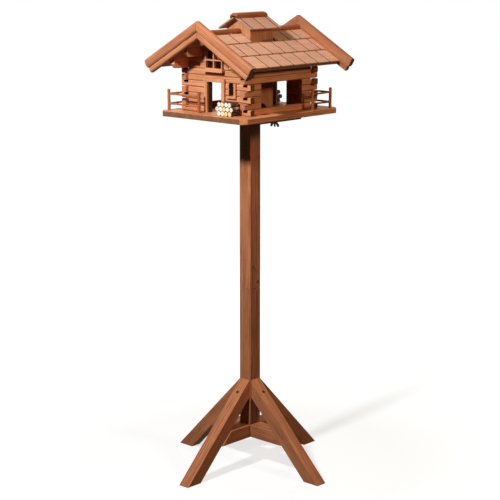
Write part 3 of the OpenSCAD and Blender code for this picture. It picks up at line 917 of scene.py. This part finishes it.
rail_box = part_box("railing_front_and_back")[1]
door_reach = side_reach("railing_front_and_back", 0, 1)
side_post = side_reach("railing_sides", 1, 0) + POST_RADIUS
grow("railing_sticks", sticks,
     {"Corner": (rail_box.x - POST_RADIUS - CORNER_INSET, rail_box.y - POST_RADIUS, 0),
      "Door post": door_reach + POST_RADIUS - DOOR_INSET, "Side post": side_post,
      "Floor height": floor_z, "Post height": rail_box.z - floor_z,
      "Post radius": POST_RADIUS, "Rail radius": RAIL_RADIUS,
      "Lower rail": 19 * mm, "Upper rail": 48 * mm, "Bend": 1.2 * mm,
      "Wood": wood_finish("railing_sticks", CAPS, Z, 0.3, 0.8, by_piece=True)},
     ["railing_front_and_back", "railing_sides"])

# %% [markdown]
# ## Firewood
# Each porch has a small pile of birch sticks, four, five and four to a row. The tree puts a
# point for each stick, and counts its row and its place in the row from its number. Then it
# gives the point a cylinder with its own width, turn and length. Chance is looked up from
# the stick's number and a seed, so it comes out the same each time.

# %% The tree of the firewood
STICKS, LAST_OF_FIRST, LAST_OF_SECOND = 13, 3.5, 8.5


def by_chance(tree, low, high, seed, draw):
    """A number between two values for each piece."""
    spot = xyz(tree, read(tree, "which"), seed, draw)
    chance = out(tree, "ShaderNodeTexWhiteNoise", {"Vector": spot}, noise_dimensions="3D")
    return remap(tree, chance, 0, 1, low, high)


pile, given, result = new_tree(
    "Firewood pile", "GeometryNodeTree",
    [("Geometry", GEOMETRY, None), ("Middle", VECTOR, (0, 0, 0)), ("Length", FLOAT, 0.035),
     ("Stick width", FLOAT, 0.015), ("Row height", FLOAT, 0.013), ("Seed", FLOAT, 1.0),
     ("Birch", MATERIAL, None)],
    [("Geometry", GEOMETRY)])
number, seed = index(pile), given["Seed"]
second, third = (calc(pile, "GREATER_THAN", number, last)
                 for last in (LAST_OF_FIRST, LAST_OF_SECOND))
row = plus(pile, second, third)
before = times_plus(pile, third, 5, times(pile, second, 4))
middle = times_plus(pile, calc(pile, "COMPARE", row, 1, 0.5), 0.5, 1.5)
column = minus(pile, minus(pile, number, before), middle)
spots = out(pile, "GeometryNodePoints",
            {"Count": STICKS, "Position": xyz(pile, times(pile, column, given["Stick width"]), 0,
                                              times(pile, row, given["Row height"]))})
spots = store(pile, spots, "which", number, "POINT")
log = add(pile, "GeometryNodeMeshCylinder",
          {"Vertices": 14, "Side Segments": 3, "Fill Segments": 2, "Radius": 0.5, "Depth": 1},
          fill_type="TRIANGLE_FAN").outputs
flat = calc3(pile, "MULTIPLY", position(pile), (2, 2, 0))
flat = add(pile, "ShaderNodeVectorMath", {0: flat}, operation="LENGTH").outputs["Value"]
body = store(pile, log["Mesh"], "across", flat, "POINT")
body = store(pile, body, "cut_end", minus(pile, 1, log["Side"]), "FACE")
width = times(pile, given["Stick width"], by_chance(pile, 0.93, 1.02, seed, 1))
length = times(pile, given["Length"], by_chance(pile, 0.9, 1.0, seed, 2))
roll = by_chance(pile, 0, 6.28, seed, 3)
laid = copies(pile, spots, body, Rotation=xyz(pile, math.pi / 2, roll, 0),
              Scale=xyz(pile, width, width, length))
print("sticks in a pile:", STICKS)

# %% [markdown]
# ## Rough sticks
# Split wood is never round. The copies are made real first, because only then does each
# stick have points of its own, and then a noise pushes these points about. The pile goes
# to its place last, and the second pile is the first one turned half round.

# %% Push the sticks out of round
laid = out(pile, "GeometryNodeRealizeInstances", {0: laid})
place = calc3(pile, "MULTIPLY", position(pile), (160, 60, 160))
push = calc3(pile, "SUBTRACT", noise(pile, place, detail=1)["Color"], HALF_GREY)
laid = moved(pile, laid, calc3(pile, "MULTIPLY", push, (2 * mm, 1 * mm, 2 * mm)))
laid = out(pile, "GeometryNodeTransform", {"Geometry": laid, "Translation": given["Middle"]})
laid = out(pile, "GeometryNodeSetShadeSmooth", {0: half_turn(pile, laid),
                                                "Shade Smooth": False})
close_tree(pile, laid, given["Birch"], result)

# %% [markdown]
# ## Birch
# The cut ends are cream wood with rings, a darker heart and fine speckles, and a stick in
# seven is pinker. The bark is dark with pale patches. One material finds out which is which
# from the numbers that the tree stored.

# %% Mix the birch
birch, tree, shader = new_material("birch_firewood")
place = add(tree, "ShaderNodeTexCoord").outputs["Object"]
stored = {name: add(tree, "ShaderNodeAttribute", attribute_name=name).outputs["Fac"]
          for name in ("which", "across", "cut_end")}
chance = out(tree, "ShaderNodeTexWhiteNoise", {"W": stored["which"]}, noise_dimensions="1D")
cut_wood = blend_colour(tree, remap(tree, chance, 0.55, 0.75, 0, 1), shade(252, 246, 232),
                        shade(238, 210, 154))
cut_wood = blend_colour(tree, calc(tree, "LESS_THAN", chance, 0.15), cut_wood,
                        shade(246, 220, 204))
ring = calc(tree, "SINE", times(tree, stored["across"], 26))
heart = remap(tree, stored["across"], 0.0, 0.6, 0.82, 1.0)
speckle = noise(tree, place, 420, 3)["Fac"]
cut_tone = times(tree, times_plus(tree, ring, 0.04, heart),
                 remap(tree, speckle, 0.3, 0.7, 0.9, 1.05))
patches = noise(tree, calc3(tree, "MULTIPLY", place, (90, 45, 90)), 1, 4, 0.65)["Fac"]
bark = blend_colour(tree, remap(tree, patches, 0.56, 0.68, 0, 1), shade(60, 34, 22),
                    shade(196, 164, 136))
bumps = out(tree, "ShaderNodeBump", {"Height": patches, "Strength": 0.5, "Distance": 0.8 * mm})
fill(tree, shader, {
    "Base Color": blend_colour(tree, stored["cut_end"], bark, scaled(tree, cut_wood, cut_tone)),
    "Normal": bumps, "Roughness": remap(tree, speckle, 0.3, 0.7, 0.6, 0.85)})
print("birch:", len(tree.nodes), "nodes")

# %% [markdown]
# ## Stack the firewood
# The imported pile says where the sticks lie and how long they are. Five sticks side by side
# fill its width, and the lowest row rests on the floor of the porch.

# %% Stack the sticks
STICK_WIDTH, ROW_HEIGHT = 13.8 * mm, 13 * mm
wood_low, wood_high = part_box("firewood_front")
pile_middle = (wood_high.x - 2.5 * STICK_WIDTH, (wood_low.y + wood_high.y) / 2,
               floor_z + 0.52 * STICK_WIDTH)
grow("firewood_sticks", pile,
     {"Middle": pile_middle, "Length": wood_high.y - wood_low.y - 1 * mm,
      "Stick width": STICK_WIDTH, "Row height": ROW_HEIGHT, "Seed": 4.0, "Birch": birch},
     ["firewood_front", "firewood_back"])

# %% [markdown]
# ## Screws and nails
# A head sits on every point of a small mesh, facing the way that the point stores. It is a
# shallow cone: its top face is lifted by a hair, drawn in, and pressed down to make the
# socket.

# %% The tree of the heads
def close_scattered(tree, given, instance, end):
    """Puts a copy on every point, turned to the way it stores, and ends the tree."""
    facing = add(tree, "GeometryNodeInputNamedAttribute", {"Name": "facing"},
                 data_type="FLOAT_VECTOR").outputs["Attribute"]
    turned = out(tree, "FunctionNodeAlignRotationToVector", {"Vector": facing}, axis="Z")
    close_tree(tree, copies(tree, given["Geometry"], instance, Rotation=turned),
               given["Metal"], end)


def cone(tree, radius, narrowing, height):
    """A blunt cone, with its faces sorted."""
    return add(tree, "GeometryNodeMeshCone",
               {"Vertices": 16, "Radius Top": times(tree, radius, narrowing),
                "Radius Bottom": radius, "Depth": height}).outputs


heads, given, result = new_tree(
    "Screw heads", "GeometryNodeTree",
    [("Geometry", GEOMETRY, None), ("Radius", FLOAT, 0.004), ("Height", FLOAT, 0.001),
     ("Socket depth", FLOAT, 0.001), ("Metal", MATERIAL, None)], [("Geometry", GEOMETRY)])
head = cone(heads, given["Radius"], 0.8, given["Height"])
rim = add(heads, "GeometryNodeExtrudeMesh", {"Mesh": head["Mesh"], "Selection": head["Top"],
                                             "Offset Scale": 0.02 * mm}).outputs
inner = out(heads, "GeometryNodeScaleElements", {"Geometry": rim["Mesh"],
                                                 "Selection": rim["Top"], "Scale": 0.5})
pressed = out(heads, "GeometryNodeExtrudeMesh",
              {"Mesh": inner, "Selection": rim["Top"],
               "Offset Scale": times(heads, given["Socket depth"], -1)})
close_scattered(heads, given, pressed, result)

# %% [markdown]
# ## Wing nuts
# A wing nut is a cone with two bent ears, each a swept curve squashed flat, and a stud
# through the middle. Every second ring of the stud is thinner, which makes the thread.

# %% The tree of the wing nuts
EAR_THICKNESS, EAR_FLATNESS, THREAD_RINGS = 4.6 * mm, 0.4, 12

wings, given, result = new_tree(
    "Wing nuts", "GeometryNodeTree",
    [("Geometry", GEOMETRY, None), ("Hub radius", FLOAT, 0.005), ("Hub height", FLOAT, 0.008),
     ("Span", FLOAT, 0.027), ("Drop", FLOAT, 0.02), ("Stud radius", FLOAT, 0.003),
     ("Metal", MATERIAL, None)], [("Geometry", GEOMETRY)])
middle = times(wings, given["Hub height"], 0.5)
half_span = times(wings, given["Span"], 0.5)
ear_end = times(wings, given["Drop"], 0.85)
hub = cone(wings, given["Hub radius"], 0.75, given["Hub height"])["Mesh"]
stud = out(wings, "GeometryNodeResampleCurve",
           {"Curve": line(wings, (0, 0, 0), xyz(wings, 0, 0, ear_end)), "Count": THREAD_RINGS})
thread = times_plus(wings, calc(wings, "MODULO", index(wings), 2), 0.12, 0.88)
ear = out(wings, "GeometryNodeCurveQuadraticBezier",
          {"Resolution": 8,
           "Start": xyz(wings, times(wings, given["Hub radius"], 0.6), 0, middle),
           "Middle": xyz(wings, times(wings, half_span, 0.7), 0, middle),
           "End": xyz(wings, times(wings, half_span, 0.85), 0, ear_end)})
along = out(wings, "GeometryNodeSplineParameter")
swell = times_plus(wings, calc(wings, "SINE", times(wings, along, 2.6)), 0.5, 0.5)
circle = out(wings, "GeometryNodeCurvePrimitiveCircle", {"Resolution": 12, "Radius": 1})
ear = sweep(wings, ear, circle, times(wings, swell, EAR_THICKNESS))
stud = sweep(wings, stud, circle, times(wings, thread, given["Stud radius"]))
ear = out(wings, "GeometryNodeTransform", {"Geometry": ear, "Scale": (1, EAR_FLATNESS, 1)})
nut = join(wings, [hub, half_turn(wings, ear), stud])
close_scattered(wings, given, nut, result)

# %% [markdown]
# ## Metal
# The screws are black steel and the nails on the ridge are bright. Both are a little rusty,
# so a fine noise mixes in a second tone and makes the face uneven.

# %% Mix the metals
def metal(name, colour, rust):
    """A dull metal with spots of another tone."""
    material, tree, shader = new_material(name)
    place = add(tree, "ShaderNodeTexCoord").outputs["Object"]
    spots = noise(tree, place, 500, 4)["Fac"]
    bumps = out(tree, "ShaderNodeBump", {"Height": spots, "Strength": 0.3,
                                         "Distance": 0.2 * mm})
    rusty = blend_colour(tree, remap(tree, spots, 0.45, 0.7, 0, 1), colour, rust)
    fill(tree, shader, {"Base Color": rusty, "Normal": bumps, "Metallic": 0.6,
                        "Roughness": remap(tree, spots, 0.3, 0.7, 0.35, 0.65)})
    return material


black_steel = metal("black_steel", shade(40, 34, 32), shade(74, 48, 36))
bright_nail = metal("bright_nail", shade(210, 196, 184), shade(176, 140, 116))
print("metals:", black_steel.name, bright_nail.name)

# %% [markdown]
# ## Put the fasteners in
# There is a screw near the top of each leg and two on either side of the spliced post, two
# nails in each flank of the bars on the ridge, one nail in the front wall and one in the
# back wall, and a wing nut under the mounting board on either side of the post. Each of
# them is a point with the way that it faces.

# %% Put the heads and nuts in
SCREW = {"Radius": 5.2 * mm, "Height": 1.6 * mm, "Socket depth": 1 * mm, "Metal": black_steel}
RIDGE_NAIL = {"Radius": 1.5 * mm, "Height": 0.5 * mm, "Socket depth": 0.1 * mm,
              "Metal": bright_nail}
WALL_NAIL = {"Radius": 1.6 * mm, "Height": 0.6 * mm, "Socket depth": 0.2 * mm,
             "Metal": black_steel}
WING_NUT = {"Hub radius": 5.5 * mm, "Hub height": 5 * mm, "Span": 34 * mm, "Drop": 15 * mm,
            "Stud radius": 3 * mm, "Metal": black_steel}
SCREW_BELOW_TOP = 35 * mm
SPLICE_SCREWS = ((-11 * mm, 635 * mm), (10 * mm, 587 * mm))
RIDGE_NAILS_Y, BELOW_CAP = (-165 * mm, -95 * mm), 12 * mm
WALL_NAIL_X, LOGS_BELOW_NAIL, NUT_X = 92 * mm, 5, 100 * mm


def dots(name, places):
    """A mesh of loose points, each with the way that it faces."""
    mesh = bpy.data.meshes.new(name)
    mesh.from_pydata([place for place, facing in places], [], [])
    ways = mesh.attributes.new("facing", "FLOAT_VECTOR", "POINT")
    for point, (place, facing) in zip(ways.data, places):
        point.vector = facing
    return mesh


screw_out = post_half + SCREW_BELOW_TOP / math.tan(leg_slope)
screws = [((x * screw_out, y * screw_out, leg_top - SCREW_BELOW_TOP),
           (x * down, y * down, outward)) for x, y in legs.values()]
screws += [((turn * post_half, turn * y, z), (turn, 0, 0))
           for turn in (1, -1) for y, z in SPLICE_SCREWS]
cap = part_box("ridge_caps")[1]
ridge_nails = [((turn * cap.x, turn * y, cap.z - BELOW_CAP), (turn, 0, 0))
               for turn in (1, -1) for y in RIDGE_NAILS_Y]
wall_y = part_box("front_wall_fitted_logs")[0].y
wall_nails = [((turn * WALL_NAIL_X, turn * wall_y, floor_z + LOGS_BELOW_NAIL * log_height),
               (0, -turn, 0)) for turn in (1, -1)]
nuts = [((x, 0, board_z), (0, 0, -1)) for x in (-NUT_X, NUT_X)]
for name, tree, sizes, slot, places in (
        ("stand_screws", heads, SCREW, "stand_wood", screws),
        ("ridge_nails", heads, RIDGE_NAIL, "verge_wood", ridge_nails),
        ("wall_nails", heads, WALL_NAIL, "house_wood", wall_nails),
        ("wing_nuts", wings, WING_NUT, "stand_wood", nuts)):
    grow(name, tree, sizes, start_mesh=dots("places of " + name, places))

# %% [markdown]
# ## Floor
# The floor is a plain pale sheet, so nothing draws the eye away from the feeder. It looks
# white to the camera and dark to light that bounces, so the undersides stay deep brown. A
# little glow of its own grows with the distance and takes the floor over into the white
# surround.

# %% Lay the floor
FLOOR_HALF, GLOW_FROM, GLOW_TO, GLOW_LEAST = 12, 0.5, 1.5, 0.72
SEEN_GREY, HIDDEN_BROWN = (0.4, 0.4, 0.4, 1), (0.045, 0.038, 0.03, 1)


def seen_directly(tree):
    """One for what the camera sees, straight or in a reflection, and nought for soft light."""
    path = add(tree, "ShaderNodeLightPath").outputs
    either = calc(tree, "MAXIMUM", path["Is Camera Ray"], path["Is Glossy Ray"])
    return calc(tree, "MAXIMUM", either, path["Is Transmission Ray"])


floor_mesh = bpy.data.meshes.new("studio_floor")
floor_mesh.from_pydata([(x * FLOOR_HALF, y * FLOOR_HALF, 0)
                        for x, y in ((-1, -1), (1, -1), (1, 1), (-1, 1))], [], [(0, 1, 2, 3)])
floor = put_in_scene("studio_floor", floor_mesh)
paper, tree, shader = new_material("pale floor")
seen = seen_directly(tree)
place = add(tree, "ShaderNodeTexCoord").outputs["Object"]
far = add(tree, "ShaderNodeVectorMath", {0: place}, operation="LENGTH").outputs["Value"]
glow = times(tree, seen, remap(tree, far, GLOW_FROM, GLOW_TO, GLOW_LEAST, 1.0))
fill(tree, shader, {"Base Color": blend_colour(tree, seen, HIDDEN_BROWN, SEEN_GREY),
                    "Emission Color": (1, 1, 1, 1), "Emission Strength": glow,
                    "Roughness": 0.9, "Specular IOR Level": 0.0})
floor.data.materials.append(paper)
print("floor:", 2 * FLOOR_HALF, "m wide")

# %% [markdown]
# ## Light
# A strong lamp in front, a weaker warm one on the right and a broad soft one behind show
# the wood at about the colours that were mixed. The lamps stand a couple of metres off, so
# the house is lit better than the feet. The white surround shows, but gives little light.

# %% Hang the lamps
SKY_LIGHT, HOUSE_MIDDLE = 0.012, Vector((0, 0, 1.2))
world = bpy.data.worlds.new("studio")
bpy.context.scene.world = world
world.use_nodes = True
tree = world.node_tree
sky = tree.nodes["Background"]
fill(tree, sky, {"Color": (1, 1, 1, 1),
                 "Strength": remap(tree, seen_directly(tree), 0, 1, SKY_LIGHT, 1.0)})


def lamp(name, towards, distance, size, strength, colour):
    """A round lamp that looks at the house from a direction."""
    light = bpy.data.lights.new(name, "AREA")
    light.shape = "DISK"
    light.size = size
    light.color = colour
    light.energy = strength * math.pi * distance ** 2
    holder = put_in_scene(name, light)
    way = Vector(towards).normalized()
    holder.location = HOUSE_MIDDLE + way * distance
    holder.rotation_mode = "QUATERNION"
    holder.rotation_quaternion = way.to_track_quat("Z", "Y")
    print(name, "stands", distance, "m off, with", round(light.energy, 1), "W")


lamp("front_lamp", (0.1, -1.0, 0.65), 2.4, 0.25, 3.9, (1, 1, 1))
lamp("right_lamp", (1.0, 0.1, 0.41), 2.6, 0.5, 1.0, (1, 0.72, 0.46))
lamp("back_lamp", (-1.0, 0.9, 0.3), 2.8, 1.4, 0.8, (1, 0.85, 0.7))

# %% [markdown]
# ## Camera
# The camera stands a little above the roof, to the right of the front, and far enough off
# that the house hardly narrows towards the back. It has a long lens for that distance.

# %% Set up the camera
STANDPOINT, AZIMUTH, ELEVATION, LENS = (3.1115, -3.3601, 1.6478), 42.80, 11.88, 109.96
camera = put_in_scene("camera", bpy.data.cameras.new("camera"))
camera.location = STANDPOINT
azimuth, elevation = math.radians(AZIMUTH), math.radians(ELEVATION)
back = Vector((math.sin(azimuth) * math.cos(elevation),
               -math.cos(azimuth) * math.cos(elevation), math.sin(elevation)))
camera.rotation_mode = "QUATERNION"
camera.rotation_quaternion = (-back).to_track_quat("-Z", "Y")
camera.data.sensor_width = 36
camera.data.lens = LENS
bpy.context.scene.camera = camera
bpy.context.scene.view_settings.view_transform = "Standard"
print("camera:", round(Vector(STANDPOINT).length, 2), "m from the foot of the post")
